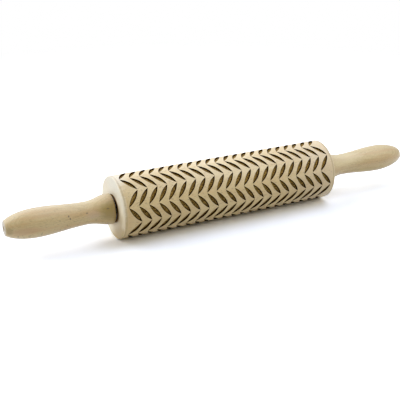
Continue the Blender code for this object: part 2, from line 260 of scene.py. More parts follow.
for lampName, (lampPlace, lampSize, lampWatts, lampTint) in studioSpec["lamps"].items():
    addLamp(lampName, lampPlace, lampSize, lampWatts, lampTint)
makeWorld(studioSpec)
makeFloor(studioSpec)
bpy.context.scene.view_settings.view_transform = "Standard"
print("studio ready")


# Shader groups that the materials share

def newGroup(name, inputs, outputs):
    # inputs and outputs: each socket's name and kind
    group = bpy.data.node_groups.new(name, "ShaderNodeTree")
    for direction, sockets in (("INPUT", inputs), ("OUTPUT", outputs)):
        for socketName, kind in sockets.items():
            group.interface.new_socket(socketName, in_out=direction, socket_type=f"NodeSocket{kind}")
    return group, group.nodes.new("NodeGroupInput"), group.nodes.new("NodeGroupOutput")


class NodeBench:
    # short ways to place the nodes that every material here uses

    def __init__(self, tree):
        self.nodes, self.links = tree.nodes, tree.links

    def plug(self, value, socket):
        if isinstance(value, bpy.types.NodeSocket):
            self.links.new(value, socket)
        else:
            socket.default_value = value

    def fill(self, node, values):
        for name, value in values.items():
            self.plug(value, node.inputs[name])

    def math(self, operation, *numbers):
        node = self.nodes.new("ShaderNodeMath")
        node.operation = operation
        for number, socket in zip(numbers, node.inputs):
            self.plug(number, socket)
        return node.outputs[0]

    def times(self, first, second):
        return self.math("MULTIPLY", first, second)

    def vector(self, operation, first, second):
        node = self.nodes.new("ShaderNodeVectorMath")
        node.operation = operation
        self.plug(first, node.inputs[0])
        self.plug(second, node.inputs[1])
        return node.outputs["Vector"]

    def scaled(self, place, scale):
        return self.vector("MULTIPLY", place, scale)

    def length(self, place):
        node = self.nodes.new("ShaderNodeVectorMath")
        node.operation = "LENGTH"
        self.plug(place, node.inputs[0])
        return node.outputs["Value"]

    def split(self, place):
        node = self.nodes.new("ShaderNodeSeparateXYZ")
        self.plug(place, node.inputs[0])
        return node.outputs

    def join(self, x, y, z):
        node = self.nodes.new("ShaderNodeCombineXYZ")
        for value, socket in zip((x, y, z), node.inputs):
            self.plug(value, socket)
        return node.outputs[0]

    def noise(self, place, detail, roughness=0.5, scale=1.0):
        node = self.nodes.new("ShaderNodeTexNoise")
        self.fill(node, {"Vector": place, "Scale": scale, "Detail": detail, "Roughness": roughness})
        return node.outputs["Fac"]

    def spread(self, value, low, high, toLow=0.0, toHigh=1.0, smooth=True):
        node = self.nodes.new("ShaderNodeMapRange")
        node.interpolation_type = "SMOOTHSTEP" if smooth else "LINEAR"
        values = {"Value": value, "From Min": low, "From Max": high, "To Min": toLow, "To Max": toHigh}
        self.fill(node, values)
        return node.outputs["Result"]

    def mix(self, share, first, second):
        node = self.nodes.new("ShaderNodeMix")
        node.data_type = "RGBA"  # its colour sockets are 6, 7 and 2
        self.plug(share, node.inputs[0])
        self.plug(first, node.inputs[6])
        self.plug(second, node.inputs[7])
        return node.outputs[2]

    def tint(self, tone, colour, mask, share):
        # takes the tone towards the colour, by this share where the mask is 1
        return self.mix(self.times(mask, share), tone, colour)

    def place(self):
        return self.nodes.new("ShaderNodeTexCoord").outputs["Object"]

    def fromAxle(self, y, z):
        # how far a place is from the axle's middle line
        return self.length(self.join(0.0, y, self.math("SUBTRACT", z, axisHeight)))

    def group(self, tree, values):
        node = self.nodes.new("ShaderNodeGroup")
        node.node_tree = tree
        self.fill(node, values)
        return node.outputs

    def bump(self, height, strength, distance):
        node = self.nodes.new("ShaderNodeBump")
        self.fill(node, {"Height": height, "Strength": strength, "Distance": distance})
        return node.outputs["Normal"]


figureSpec = {  # a scale of three numbers is noise cells to the metre, along the piece and across it
    "seedSteps": (0.37, 0.61),  # how far the seed moves the noise across the piece, for each step along it
    "wanderScale": (9.0, 55.0, 55.0),
    "wander": 7.0 * mm,  # how far the rings wander off their circles
    "lateFrom": (0.35, 0.93),  # the darker late wood comes in over this part of a ring
    "lateTo": (1.0, 0.95),  # and ends over this one
    "yearScale": 3.3,
    "yearTone": (0.3, 0.7, 0.45, 1.0),  # some years' rings are fainter than others
    "rayScale": (430.0, 105.0, 120.0),  # along the piece, round the pith for each radian, and out from it
    "rayEdge": (0.6, 0.72),
    "poreScale": (620.0, 4200.0, 4200.0),
    "poreEdge": (0.56, 0.72),
    "mottleScale": (60.0, 260.0, 260.0),
}


def makeBeechFigure(spec):
    # growth rings round a pith beside the piece, with beech's short dark rays and fine pores
    group, given, result = newGroup(
        "beechFigure",
        {"Place": "Vector", "Pith": "Vector", "RingWidth": "Float", "Seed": "Float"},
        {"Rings": "Float", "Rays": "Float", "Pores": "Float", "Mottle": "Float"},
    )
    bench = NodeBench(group)
    place, seed = given.outputs["Place"], given.outputs["Seed"]
    offset = bench.join(seed, *(bench.times(seed, step) for step in spec["seedSteps"]))

    def seededNoise(where, detail, roughness=0.5):
        return bench.noise(bench.vector("ADD", where, offset), detail, roughness)

    x, y, z = bench.split(bench.vector("SUBTRACT", place, given.outputs["Pith"]))
    reach = bench.length(bench.join(0.0, y, z))
    wander = seededNoise(bench.scaled(place, spec["wanderScale"]), detail=2.0)
    wavy = bench.math("MULTIPLY_ADD", wander, spec["wander"], reach)
    ringPlace = bench.math("DIVIDE", wavy, given.outputs["RingWidth"])
    share = bench.math("FRACT", ringPlace)
    lateWood = bench.times(bench.spread(share, *spec["lateFrom"]), bench.spread(share, *spec["lateTo"]))
    year = bench.join(bench.math("FLOOR", ringPlace), seed, 0.0)
    yearTone = bench.spread(bench.noise(year, detail=0.0, scale=spec["yearScale"]), *spec["yearTone"])
    alongRay, roundPith, outRay = spec["rayScale"]
    turn = bench.math("ARCTAN2", z, y)
    rayPlace = bench.join(bench.times(x, alongRay), bench.times(turn, roundPith), bench.times(reach, outRay))
    pores = seededNoise(bench.scaled(place, spec["poreScale"]), detail=1.0)
    bench.fill(result, {
        "Rings": bench.times(lateWood, yearTone),
        "Rays": bench.spread(seededNoise(rayPlace, detail=1.0, roughness=0.4), *spec["rayEdge"]),
        "Pores": bench.spread(pores, *spec["poreEdge"]),
        "Mottle": seededNoise(bench.scaled(place, spec["mottleScale"]), detail=6.0, roughness=0.76),
    })
    return group


beechFigure = makeBeechFigure(figureSpec)

endGrainSpec = {
    "facing": (0.55, 0.95),  # how squarely the surface faces along the pin, for the sawn end
    "bend": ((0.35, 0.65), (0.99, 0.9)),  # and for the rounded edge before it
    "dotScale": (60.0, 1500.0, 1500.0),
    "dotEdge": (0.34, 0.12),
}


def makeEndGrain(spec):
    # where the sawn end and its rounded edge are, and the end grain's pores, which are dots there
    group, given, result = newGroup(
        "endGrain",
        {"Place": "Vector", "Normal": "Vector"},
        {"Facing": "Float", "Bend": "Float", "Dots": "Float"},
    )
    bench = NodeBench(group)
    sideways = bench.math("ABSOLUTE", bench.split(given.outputs["Normal"])[0])
    bendFrom, bendTo = spec["bend"]
    cells = bench.nodes.new("ShaderNodeTexVoronoi")
    bench.fill(cells, {"Vector": bench.scaled(given.outputs["Place"], spec["dotScale"]), "Scale": 1.0})
    bench.fill(result, {
        "Facing": bench.spread(sideways, *spec["facing"]),
        "Bend": bench.times(bench.spread(sideways, *bendFrom), bench.spread(sideways, *bendTo)),
        "Dots": bench.spread(cells.outputs["Distance"], *spec["dotEdge"]),
    })
    return group


endGrain = makeEndGrain(endGrainSpec)


# Wood materials
# Share: how far a tone goes towards its colour. Edge: where its mask starts, and where it is full.

polishedBeech = {  # what the barrel and the handles have in common
    "patchEdge": (0.25, 0.75),
    "blushEdge": (0.4, 0.68),
    "endPaleShare": 0.75,
    "endRingShare": 0.22,
    "poreShare": 0.32,
    "dotShare": 0.25,
    "markEdge": (1.45, 0.75),
    "markFray": 0.9,
    "patchRoughness": 0.14,
    "mottleHeight": 0.35,
    "rayHeight": 0.5,
    "bump": (0.35, 0.12 * mm),
    "gloss": 1.0,
    "varnish": 0.35,
    "varnishRoughness": 0.45,
    "sheenRoughness": 0.4,
}
barrelBeechSpec = {
    **polishedBeech,
    "pale": linearColour(224, 200, 142),
    "deep": linearColour(203, 174, 112),
    "ray": linearColour(150, 116, 80),
    "endPale": linearColour(247, 240, 213),
    # painted highlight: the rounded edge of each end is paler, as if it caught the light
    "edgeHighlight": linearColour(255, 244, 216),
    "edgeHighlightShare": 0.8,
    "pith": (0.0, 0.055, -0.035),
    "ringWidth": 2.6 * mm,
    "seed": 3.1,
    "ringShare": 0.3,
    "patchShare": 0.55,
    "rayShare": 0.5,
    "roughness": 0.48,
    "sheen": 0.25,
    "blush": linearColour(212, 180, 122),
    "blushShare": 0.3,
    "blushScale": (22.0, 95.0, 95.0),
    "marks": [  # (middle and reach in mm, colour, strength): paler and deeper places, some the wood's own tone and some painted light and shade
        # paler all round the right end
        ((115, 0, 30), (75, 80, 80), (228, 208, 178), 0.45),
        # painted shade: deeper along the low front of the barrel
        ((-78, -29, 26), (48, 12, 13), (188, 156, 92), 0.34),
        ((78, -29, 24), (50, 12, 15), (188, 156, 92), 0.36),
        # painted light: the top of the left end paler
        ((-115, 0, 64), (17, 28, 26), (236, 229, 208), 0.6),
        # painted shade: deeper on the front beside the left end
        ((-111, -27, 30), (6, 14, 22), (206, 172, 112), 0.55),
        # painted light: a pale place on the left end face, lifting the handle's shadow there
        ((-115, -19, 39), (5, 17, 20), (255, 248, 224), 0.85),
        # painted highlight: paler along the top front of the barrel
        ((0, -12, 54), (75, 32, 22), (238, 218, 172), 0.35),
        # painted shade: deeper low at the back of the left end face
        ((-115, 15.6, 14.4), (6, 9.5, 9.5), (200, 172, 118), 0.7),
    ],
}
barrelEndSpec = {  # painted shade on the end faces: where each tone starts and is full, and its strength at both
    "slope": 0.71,  # Low measures down and to the front from the axle
    "seatMiddle": (-1.48 * mm, -0.26 * mm),  # Reach measures from here, so the painted shade in the gap is a crescent
    # painted shade: warmer, then deeper, towards the low front of each end face, where the handle's shadow
    # falls
    "warm": linearColour(236, 190, 104),
    "warmShare": 0.16,
    "warmLow": (-12 * mm, 8 * mm),
    "warmReach": (26 * mm, 15 * mm, 0.3, 1.6),
    "deep": linearColour(200, 172, 104),
    "deepLow": (10 * mm, 24 * mm),
    "seatLow": (2 * mm, 11 * mm),
    "seatReach": (21 * mm, 15 * mm, 0.0, 0.5),
    "deepAlong": (60 * mm, -60 * mm, 0.3, 1.0),  # the painted shade is deeper on the left end
    "sparedShare": 0.65,  # how much of that tone is missing near the edge
    "sparedReach": (20 * mm, 24 * mm),
    "sparedLift": (-15 * mm, -9 * mm),
    "creaseShade": linearColour(172, 144, 92),  # painted shade: a darker line round the barrel beside its rounded edge
    "creaseShare": 0.48,
    "creaseFrom": (111.8 * mm, 112.8 * mm),
    "creaseTo": (114.3 * mm, 113.5 * mm),
    # painted shade: a brown crescent on the end face, in the gap behind each handle
    "gapShade": linearColour(146, 106, 36),
    "gapShadeReach": (13.9 * mm, 12.9 * mm),
}
handleBeechSpec = {
    **polishedBeech,
    "pale": linearColour(211, 188, 131),
    "deep": linearColour(187, 159, 99),
    "ray": linearColour(120, 92, 60),
    "endPale": linearColour(196, 176, 140),
    "pith": (0.0, -0.035, 0.06),
    "ringWidth": 1.4 * mm,
    "seed": 11.7,
    "ringShare": 0.5,
    "patchShare": 0.5,
    "rayShare": 0.4,
    "roughness": 0.45,
    "sheen": 0.6,
    "blush": linearColour(198, 156, 96),
    "blushShare": 0.5,
    "blushScale": (9.0, 210.0, 210.0),
    "marks": [  # (middle and reach in mm, colour, strength): olive places beside the barrel, stains, painted light and shade, then small knots and flecks
        # darker olive on the bell of the left handle, next to the barrel
        ((-120.5, -13.8, 33.0), (17, 12, 12), (150, 121, 8), 0.88),
        ((-116.8, -12.5, 30.0), (5, 14, 20), (142, 114, 40), 0.6),
        # stains
        ((-138, -10.6, 31.5), (10, 6, 5), (200, 168, 132), 0.5),
        ((-214.5, -8.4, 29.5), (4.5, 5, 5), (156, 128, 62), 0.6),
        ((-200.3, -12.6, 28.8), (21, 6, 5), (190, 148, 92), 0.7),
        # painted light: the top of the right handle paler
        ((140, -8, 38), (30, 14, 12), (232, 214, 166), 0.55),
        # painted shade: the underside of the right handle deeper and olive
        ((187, -10, 20), (55, 12, 9), (182, 154, 62), 0.62),
        ((-124.5, -12.7, 35.9), (2.2, 1.0, 1.0), (98, 76, 30), 0.85),
        ((-143.8, -10.0, 34.0), (1.3, 0.9, 0.9), (98, 76, 40), 0.8),
        ((-161.3, -10.9, 34.7), (1.0, 1.3, 1.3), (90, 68, 38), 0.9),
        ((-160.2, -11.6, 32.3), (0.9, 1.4, 1.7), (90, 68, 38), 0.9),
        ((-170.0, -12.4, 32.6), (1.0, 0.7, 0.7), (120, 92, 58), 0.6),
        ((-176.0, -12.0, 36.0), (0.9, 0.7, 0.7), (120, 92, 58), 0.5),
    ],
}


def startMaterial(name):
    material = bpy.data.materials.new(name)
    material.use_nodes = True
    return material, NodeBench(material.node_tree), material.node_tree.nodes["Principled BSDF"]


def placeFigure(bench, place, wood):  # the grain runs on through every material of one piece
    values = {"Place": place, "Pith": wood["pith"], "RingWidth": wood["ringWidth"], "Seed": wood["seed"]}
    return bench.group(beechFigure, values)


def addMark(bench, tone, place, mottle, spec, mark):
    # one paler or darker place with a frayed edge; some are the wood's own tones, some painted light and
    # shade
    middle, reach, colour, strength = mark
    away = bench.vector("SUBTRACT", place, [size * mm for size in middle])
    away = bench.length(bench.scaled(away, [1 / (size * mm) for size in reach]))
    frayed = bench.math("MULTIPLY_ADD", mottle, spec["markFray"], away)
    return bench.tint(tone, linearColour(*colour), bench.spread(frayed, *spec["markEdge"]), strength)


def beechColour(bench, spec):
    # returns the wood's colour, its roughness, its fine height and the end-grain mask
    place = bench.place()
    figure = placeFigure(bench, place, spec)
    normal = bench.nodes.new("ShaderNodeTexCoord").outputs["Normal"]
    end = bench.group(endGrain, {"Place": place, "Normal": normal})
    facing = end["Facing"]
    patch = bench.spread(figure["Mottle"], *spec["patchEdge"], smooth=False)
    blush = bench.noise(bench.scaled(place, spec["blushScale"]), detail=2.0)
    blush = bench.spread(blush, *spec["blushEdge"])
    sideRays = bench.times(figure["Rays"], bench.math("SUBTRACT", 1.0, facing))
    tone = bench.tint(spec["pale"], spec["deep"], figure["Rings"], spec["ringShare"])
    tone = bench.tint(tone, spec["deep"], patch, spec["patchShare"])
    tone = bench.tint(tone, spec["blush"], blush, spec["blushShare"])
    tone = bench.tint(tone, spec["endPale"], facing, spec["endPaleShare"])
    tone = bench.tint(tone, spec["deep"], bench.times(figure["Rings"], facing), spec["endRingShare"])
    tone = bench.tint(tone, spec["ray"], sideRays, spec["rayShare"])
    tone = bench.tint(tone, spec["ray"], figure["Pores"], spec["poreShare"])
    # painted highlight along the rounded edge of each end
    if "edgeHighlight" in spec:
        tone = bench.tint(tone, spec["edgeHighlight"], end["Bend"], spec["edgeHighlightShare"])
    tone = bench.tint(tone, spec["ray"], bench.times(end["Dots"], facing), spec["dotShare"])
    for mark in spec["marks"]:
        tone = addMark(bench, tone, place, figure["Mottle"], spec, mark)
    rough = bench.math("MULTIPLY_ADD", patch, spec["patchRoughness"], spec["roughness"])
    height = bench.math("SUBTRACT", bench.times(figure["Mottle"], spec["mottleHeight"]), figure["Pores"])
    height = bench.math("SUBTRACT", height, bench.times(sideRays, spec["rayHeight"]))
    return tone, rough, height, facing


# painted shade on each end: warmer and deeper towards the low front, deeper on the left end, a darker line
# beside the rounded edge, and a brown crescent in the gap behind each handle
def shadeEnds(bench, spec, tone, facing):
    # each end is deeper towards one side, and brown where the bearing was pressed in
    x, y, z = bench.split(bench.place())
    lift = bench.math("SUBTRACT", z, axisHeight)
    seatForward, seatLift = spec["seatMiddle"]
    forward, up = bench.math("SUBTRACT", y, seatForward), bench.math("SUBTRACT", lift, seatLift)
    reach = bench.length(bench.join(0.0, forward, up))
    low = bench.times(bench.math("ADD", y, lift), -spec["slope"])
    # painted shade: warmer, then deeper, towards the low front of each end face
    warm = bench.times(bench.spread(low, *spec["warmLow"]), facing)
    warm = bench.times(warm, bench.spread(reach, *spec["warmReach"]))
    tone = bench.tint(tone, spec["warm"], warm, spec["warmShare"])
    spared = bench.times(bench.spread(reach, *spec["sparedReach"]), bench.spread(lift, *spec["sparedLift"]))
    deep = bench.times(bench.spread(low, *spec["deepLow"]), facing)
    deep = bench.times(deep, bench.math("MULTIPLY_ADD", spared, -spec["sparedShare"], 1.0))
    bySeat = bench.times(bench.spread(reach, *spec["seatReach"]), bench.spread(low, *spec["seatLow"]))
    deep = bench.math("MAXIMUM", deep, bench.times(bySeat, facing))
    tone = bench.tint(tone, spec["deep"], deep, bench.spread(x, *spec["deepAlong"]))
    # painted shade: a darker line beside each rounded edge
    along = bench.math("ABSOLUTE", x)
    creaseShade = bench.times(bench.spread(along, *spec["creaseFrom"]), bench.spread(along, *spec["creaseTo"]))
    tone = bench.tint(tone, spec["creaseShade"], creaseShade, spec["creaseShare"])
    # painted shade: the brown crescent in the gap behind each handle
    gapShade = bench.times(bench.spread(reach, *spec["gapShadeReach"]), facing)
    return bench.mix(gapShade, tone, spec["gapShade"]), gapShade


def makeBeech(name, spec, ends=None):
    material, bench, shader = startMaterial(name)
    tone, rough, height, facing = beechColour(bench, spec)
    varnish = spec["varnish"]
    if ends:  # the painted shade in the gap round each bearing's seat is also left rough and unvarnished
        tone, gapShadeMask = shadeEnds(bench, ends, tone, facing)
        rough = bench.math("MAXIMUM", rough, gapShadeMask)
        varnish = bench.math("MULTIPLY_ADD", gapShadeMask, -varnish, varnish)
    bench.fill(shader, {
        "Base Color": tone,
        "Roughness": rough,
        "Normal": bench.bump(height, *spec["bump"]),
        "Specular IOR Level": spec["gloss"],
        "Sheen Weight": spec["sheen"],
        "Sheen Roughness": spec["sheenRoughness"],
        "Coat Weight": varnish,
        "Coat Roughness": spec["varnishRoughness"],
    })
    return material


cutSpec = {
    # painted shade: the browns of the gap behind each handle
    "brown": linearColour(146, 106, 36),
    "dark": linearColour(100, 69, 20),
    "ringShare": 0.3,
    "mottleShare": 0.4,
    "bump": (0.4, 0.2 * mm),
    "roughness": 0.95,
    "gloss": 0.0,
}


def makeCutBeech(name, spec, wood):
    # never polished, and dark brown as painted shade in the gap behind each handle: the rim round each
    # bearing's seat, the seat and the bore
    material, bench, shader = startMaterial(name)
    figure = placeFigure(bench, bench.place(), wood)
    mottle = bench.times(figure["Mottle"], spec["mottleShare"])
    shade = bench.math("MULTIPLY_ADD", figure["Rings"], spec["ringShare"], mottle)
    bench.fill(shader, {
        "Base Color": bench.mix(shade, spec["brown"], spec["dark"]),
        "Normal": bench.bump(figure["Mottle"], *spec["bump"]),
        "Roughness": spec["roughness"],
        "Specular IOR Level": spec["gloss"],
    })
    return material


pocketSpec = {
    "floor": linearColour(188, 150, 72),
    "floorDark": linearColour(78, 53, 12),
    # near black: partly charring, partly painted shade in the pocket
    "wall": linearColour(52, 30, 4),
    "rim": linearColour(80, 50, 11),
    "floorFrom": (0.86, 0.965),  # shares of the pocket's depth
    "rimTo": (0.0, 0.1),
    "passScale": (600.0, 1500.0, 1500.0),
    "passEdge": (0.36, 0.64),
    "ringShare": 0.3,
    "bump": (0.5, 0.2 * mm),
    "roughness": 0.8,
    "gloss": 0.0,
    "polish": 0.2,
    "polishRoughness": 0.6,
}


def makeBurntPocket(name, spec, wood, radius, depth):
    # the laser leaves the walls charred and the floor toasted, in fine passes along the barrel; the
    # near-black rim and walls are partly that charring and partly painted shade of the pocket
    material, bench, shader = startMaterial(name)
    place = bench.place()
    x, y, z = bench.split(place)
    sunk = bench.math("DIVIDE", bench.math("SUBTRACT", radius, bench.fromAxle(y, z)), depth)
    onFloor = bench.spread(sunk, *spec["floorFrom"])
    figure = placeFigure(bench, place, wood)
    passes = bench.noise(bench.scaled(place, spec["passScale"]), detail=3.0, roughness=0.65)
    floorTone = bench.mix(bench.spread(passes, *spec["passEdge"]), spec["floorDark"], spec["floor"])
    floorTone = bench.tint(floorTone, spec["floorDark"], figure["Rings"], spec["ringShare"])
    wallTone = bench.mix(bench.spread(sunk, *spec["rimTo"]), spec["rim"], spec["wall"])
    bench.fill(shader, {
        "Base Color": bench.mix(onFloor, wallTone, floorTone),
        "Roughness": spec["roughness"],
        "Specular IOR Level": spec["gloss"],
        "Coat Weight": bench.times(onFloor, spec["polish"]),
        "Coat Roughness": spec["polishRoughness"],
        "Normal": bench.bump(passes, *spec["bump"]),
    })
    return material


# Engraved barrel

leafDepth = 1.5 * mm
barrelSpec = {
    "radius": 29.93 * mm,
    "length": 230.0 * mm,
    "edgeRadius": 1.2 * mm,
    "edgeSteps": 6,
    "rows": 12,
    "firstRowAngle": math.radians(11.25),
    "columns": 22,
    "pitch": 9.9 * mm,
    "leafReach": 11.65 * mm,
    "rowGap": 0.85 * mm,
    "leafWidth": 3.7 * mm,
    "leafSteps": 12,
    "levels": [  # (inset, tip inset, depth): scorched edge, rim, wall, fillet and the dished floor
        (-0.15 * mm, -0.35 * mm, 0.0),
        (0.0, 0.0, 0.0),
        (0.05 * mm, 0.15 * mm, 0.07 * mm),
        (0.26 * mm, 0.85 * mm, 1.1 * mm),
        (0.42 * mm, 1.3 * mm, 1.34 * mm),
        (0.72 * mm, 2.2 * mm, 1.44 * mm),
        (1.15 * mm, 3.6 * mm, leafDepth),
    ],
    "faceRadius": 22.0 * mm,
    # inside this radius the end face is cut wood, brown as painted shade
    "gapShadeRadius": 13.2 * mm,
    "seatRadius": 11.3 * mm,
    "seatDepth": 8.3 * mm,
    "seatChamfer": 0.35 * mm,
    "boreRadius": 9.0 * mm,
}


class LeafShape:
    # two arcs between the leaf's tips, laid out flat round the leaf's middle

    def __init__(self, spec, inset, tipInset):
        reach = spec["leafReach"] / 2
        rise = (spec["radius"] * 2 * math.pi / spec["rows"] - spec["rowGap"]) / 2
        full = math.hypot(reach, rise)
        share = (full - tipInset) / full
        self.reach, self.rise = reach * share, rise * share
        halfLength, halfWidth = full * share, spec["leafWidth"] / 2 - inset
        self.radius = (halfLength ** 2 + halfWidth ** 2) / (2 * halfWidth)
        offset = self.radius - halfWidth
        self.centreX, self.centreRise = offset * rise / full, offset * reach / full

    def outline(self, side, lean, steps):
        # (x, rise) from the leaf's first tip to its last, along its left (-1) or right (+1) edge
        points = []
        for step in range(steps + 1):
            rise = self.rise * (2 * step / steps - 1)
            if step in (0, steps):
                x = lean * self.reach * (2 * step / steps - 1)
            else:
                height = rise - side * lean * self.centreRise
                x = side * (math.sqrt(self.radius ** 2 - height ** 2) - self.centreX)
            points.append((x, rise))
        return points


def barrelEnd(spec, straightEnd):
    # from the straight part's end over the rounded edge, the end face and the bearing's seat to the bore
    profile = []
    for step in range(1, spec["edgeSteps"] + 1):
        bend = math.pi / 2 * step / spec["edgeSteps"]
        profile.append((
            straightEnd + spec["edgeRadius"] * math.sin(bend),
            spec["radius"] - spec["edgeRadius"] * (1 - math.cos(bend)),
        ))
    half, chamfer = spec["length"] / 2, spec["seatChamfer"]
    return profile + [
        (half, spec["faceRadius"]),
        (half, spec["gapShadeRadius"]),
        (half, spec["seatRadius"] + chamfer),
        (half - chamfer, spec["seatRadius"]),
        (half - spec["seatDepth"], spec["seatRadius"]),
        (half - spec["seatDepth"], spec["boreRadius"]),
    ]


def engraveBarrel(spec, materials):
    polished, burntShaded, cut = range(3)  # places in the list of materials
    shape = bmesh.new()
    radius, steps, rows = spec["radius"], spec["leafSteps"], spec["rows"]
    rowAngle = 2 * math.pi / rows
    rowAngles = [spec["firstRowAngle"] + row * rowAngle for row in range(rows)]
    columns = [(column - (spec["columns"] - 1) / 2) * spec["pitch"] for column in range(spec["columns"])]
    leaves = [(LeafShape(spec, inset, tipInset), depth) for inset, tipInset, depth in spec["levels"]]
    rim = leaves[0][0]
    lineAngles = [0.0] + [
        rowAngle / 2 + rim.rise * (2 * step / steps - 1) / radius for step in range(steps + 1)
    ]
    roundAngles = [start + angle for start in rowAngles for angle in lineAngles]
    perRow, perRing = len(lineAngles), len(roundAngles)
    straightEnd = spec["length"] / 2 - spec["edgeRadius"]

    def addFace(corners, materialIndex=polished):
        shape.faces.new(corners).material_index = materialIndex

    def addStrip(near, far, materialIndex=polished):
        for step in range(len(near) - 1):
            addFace((near[step], near[step + 1], far[step + 1], far[step]), materialIndex)

    def ringAt(x, atRadius):
        return [shape.verts.new(pinPoint(x, atRadius, angle)) for angle in roundAngles]

    def addBand(near, far, materialIndex):
        addStrip(near + near[:1], far + far[:1], materialIndex)

    endRings = {side: ringAt(side * straightEnd, radius) for side in (-1, 1)}
    rowStarts = []
    for row, angle in enumerate(rowAngles):
        tip = -rim.reach if row % 2 == 0 else rim.reach
        rowStarts.append([shape.verts.new(pinPoint(x + tip, radius, angle)) for x in columns])

    def addLeaf(row, column):
        # returns the leaf's left (-1) and right (1) edges, each with the row lines' points before and after
        lean = 1 if row % 2 == 0 else -1
        middle = rowAngles[row] + rowAngle / 2
        rings = []
        for leaf, depth in leaves:
            left, right = [
                [
                    (columns[column] + x, radius - depth, middle + rise / radius)
                    for x, rise in leaf.outline(side, lean, steps)
                ]
                for side in (-1, 1)
            ]
            left = [shape.verts.new(pinPoint(*place)) for place in left]
            right = [left[0]] + [shape.verts.new(pinPoint(*place)) for place in right[1:-1]] + [left[-1]]
            rings.append((left, right))
        for (upperLeft, upperRight), (lowerLeft, lowerRight) in zip(rings, rings[1:]):
            addStrip(upperLeft, lowerLeft, burntShaded)
            addStrip(upperRight, lowerRight, burntShaded)
        left, right = rings[-1]
        for step in range(steps):
            addFace(list(dict.fromkeys((left[step], left[step + 1], right[step + 1], right[step]))), burntShaded)
        start, finish = rowStarts[row][column], rowStarts[(row + 1) % rows][column]
        return {side: [start] + edge + [finish] for side, edge in zip((-1, 1), rings[0])}

    def endLine(row, side):
        return [endRings[side][(row * perRow + step) % perRing] for step in range(perRow + 1)]

    for row in range(rows):  # the plain wood of a row is a strip from each leaf to the next
        left = endLine(row, -1)
        for column in range(len(columns)):
            edges = addLeaf(row, column)
            addStrip(left, edges[-1])
            left = edges[1]
        addStrip(left, endLine(row, 1))

    boreMouths = []
    for side, outer in endRings.items():
        for x, atRadius in barrelEnd(spec, straightEnd):
            inner = ringAt(side * x, atRadius)
            addBand(outer, inner, cut if atRadius < spec["gapShadeRadius"] else polished)
            outer = inner
        boreMouths.append(outer)
    addBand(*boreMouths, cut)
    addPiece("engravedBarrel", shape, "barrel", "barrel", materials, sharpFrom=28)


barrelBeech = makeBeech("barrelBeech", barrelBeechSpec, barrelEndSpec)
burntShadedPocket = makeBurntPocket("burntShadedPocket", pocketSpec, barrelBeechSpec, barrelSpec["radius"], leafDepth)
cutShadedBeech = makeCutBeech("cutShadedBeech", cutSpec, barrelBeechSpec)
engraveBarrel(barrelSpec, [barrelBeech, burntShadedPocket, cutShadedBeech])
print("barrel engraved")


# Turned handles

handleSpec = {
    "face": 117.0 * mm,
    "length": 100.5 * mm,
    "innerRadius": 14.7 * mm,
    "edgeRadius": 1.5 * mm,
    "edgeSteps": 8,
    "waistAt": 24.12 * mm,
    "waistRadius": 10.8 * mm,
    "waistSteps": 20,
    "swellAt": 71.36 * mm,
    "swellRadius": 13.6 * mm,
    "swellSteps": 28,
    "noseSteps": 24,
    "tipRadius": 6.6 * mm,
    "tipEdge": 0.6 * mm,
    "tipBend": ((0.35, 0.45), (0.0, -0.2)),  # points on the tip's edge: how far back and out, in tipEdges
    "tipFaceRadius": 4.0 * mm,
    "boreRadius": 4.3 * mm,
    "boreDepth": 60.3 * mm,
    "boreChamfer": 0.5 * mm,
    "holeRadius": 2.0 * mm,
    "holeDepth": 5.0 * mm,
    "holeChamfer": 0.2 * mm,
    "sides": 96,
}


def easedCurve(start, end, steps):
    points = []
    for step in range(1, steps + 1):
        share = step / steps
        ease = (1 - math.cos(math.pi * share)) / 2
        points.append((start[0] + (end[0] - start[0]) * share, start[1] + (end[1] - start[1]) * ease))
    return points


def handleProfile(spec):
    # from the bottom of the bore over the outside to the bottom of the lathe's centre hole
    edge, swell, length, tip = spec["edgeRadius"], spec["swellRadius"], spec["length"], spec["tipRadius"]
    bore, boreDepth, boreChamfer = spec["boreRadius"], spec["boreDepth"], spec["boreChamfer"]
    hole, holeDepth, holeChamfer = spec["holeRadius"], spec["holeDepth"], spec["holeChamfer"]
    profile = [(boreDepth, 0.0), (boreDepth, bore), (boreChamfer, bore), (0.0, bore + boreChamfer)]
    profile += roundedCorner(edge, spec["innerRadius"] - edge, edge, 180, 90, spec["edgeSteps"])
    waist = (spec["waistAt"], spec["waistRadius"])
    profile += easedCurve(profile[-1], waist, spec["waistSteps"])
    profile += easedCurve(waist, (spec["swellAt"], swell), spec["swellSteps"])
    noseAngle = math.acos((tip + spec["tipEdge"]) / swell)
    noseLength = (length - spec["tipEdge"] - spec["swellAt"]) / math.sin(noseAngle)
    for step in range(1, spec["noseSteps"] + 1):
        angle = noseAngle * step / spec["noseSteps"]
        profile.append((spec["swellAt"] + noseLength * math.sin(angle), swell * math.cos(angle)))
    profile += [
        *((length - spec["tipEdge"] * back, tip + spec["tipEdge"] * out) for back, out in spec["tipBend"]),
        (length, spec["tipFaceRadius"]),
        (length, hole + holeChamfer),
        (length - holeChamfer, hole),
        (length - holeDepth + hole, hole),
        (length - holeDepth, 0.0),
    ]
    return [(spec["face"] + x, radius) for x, radius in profile]


handleBeech = makeBeech("handleBeech", handleBeechSpec)
turnBothEnds(
    "turnedHandle", handleProfile(handleSpec), handleSpec["sides"],
    "axle", "handle_{}", handleBeech, closed=False, sharpFrom=32,
)
print("handles turned")


# Steel

